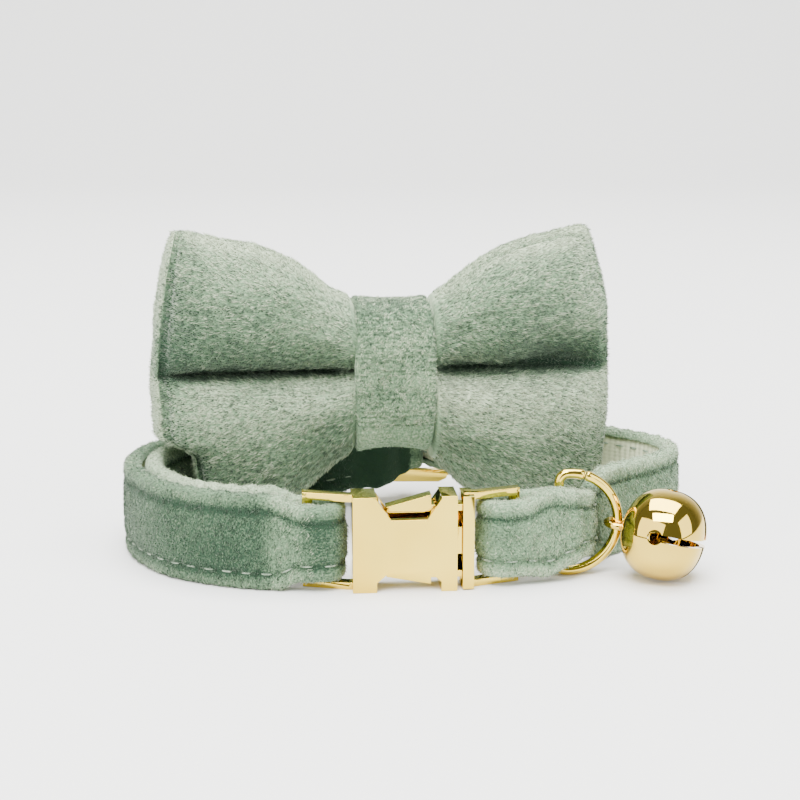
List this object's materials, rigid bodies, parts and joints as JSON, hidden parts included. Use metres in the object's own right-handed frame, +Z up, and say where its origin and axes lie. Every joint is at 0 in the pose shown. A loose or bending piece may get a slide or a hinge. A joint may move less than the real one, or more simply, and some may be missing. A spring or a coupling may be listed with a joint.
{
  "type": "pet bow tie collar",
  "caption": "Velvet bow tie collar for a cat or small dog, standing as a closed loop, with a gilt side-release buckle, a jingle bell on a D-ring and a slider at the back.",
  "frame": {"origin": "centre of the whole part's footprint, on the floor it stands on", "axes": "+X to the right as seen from the front, across the bow; +Y from the buckle at the front to the slider at the back; +Z up, along the neck that the loop goes round"},
  "size_m": [0.0748, 0.0492, 0.0421],
  "materials": {
    "velvet": "matt",
    "webbing": "matt",
    "elastic": "matt",
    "gilt": "polished",
    "steel": "satin"
  },
  "bodies": {
    "root": {"buckle_socket": "gilt", "buckle_plug": "gilt", "strap_velvet": "velvet", "strap_webbing": "webbing", "slider": "gilt", "d_ring": "gilt", "bell": "gilt", "bell_pellet": "steel", "bow_pouch": "velvet", "bow_knot": "velvet", "elastic_left": "elastic", "elastic_right": "elastic"}
  },
  "joints": []
}
